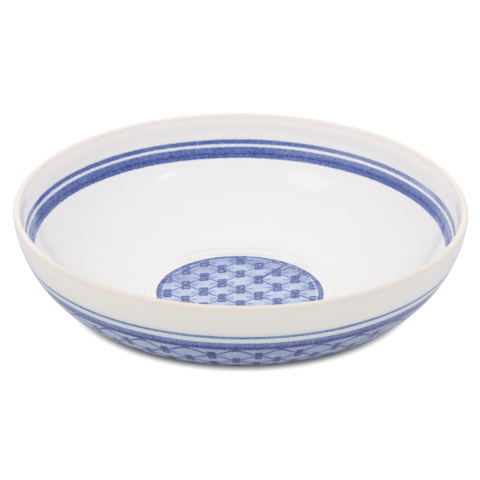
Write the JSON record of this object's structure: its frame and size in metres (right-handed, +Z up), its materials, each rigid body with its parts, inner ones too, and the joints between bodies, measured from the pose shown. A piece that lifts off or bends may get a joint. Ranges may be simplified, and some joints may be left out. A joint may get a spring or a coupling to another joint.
{
  "type": "serving bowl",
  "caption": "Wide shallow porcelain serving bowl with a low foot ring, white glaze, cobalt line bands, a lattice medallion in the well and a lattice frieze under the belly.",
  "frame": {"origin": "centre of the foot ring's resting face, at the bottom of the bowl", "axes": "+Z up along the bowl's axis of revolution; +X to the right and +Y away from the viewer of the painted front"},
  "size_m": [0.25, 0.25, 0.067],
  "materials": {
    "porcelain": "matt fired body",
    "bare_foot": "bare, lightly ground",
    "buff_rim": "thin buff glaze, satin",
    "white_glaze": "clear gloss glaze over white",
    "cobalt_paint": "cobalt under gloss glaze, granular",
    "pale_blue_wash": "thin cobalt wash with painted lattice, gloss"
  },
  "bodies": {
    "root": {"porcelain_body": "porcelain", "foot_ring": "bare_foot", "rim_edge": "buff_rim", "inner_glaze": "white_glaze", "outer_glaze": "white_glaze", "base_glaze": "white_glaze", "inner_narrow_band": "cobalt_paint", "inner_wide_band": "cobalt_paint", "medallion_ring": "cobalt_paint", "well_medallion": "pale_blue_wash", "outer_narrow_band": "cobalt_paint", "outer_wide_band": "cobalt_paint", "outer_lattice": "pale_blue_wash"}
  },
  "joints": []
}
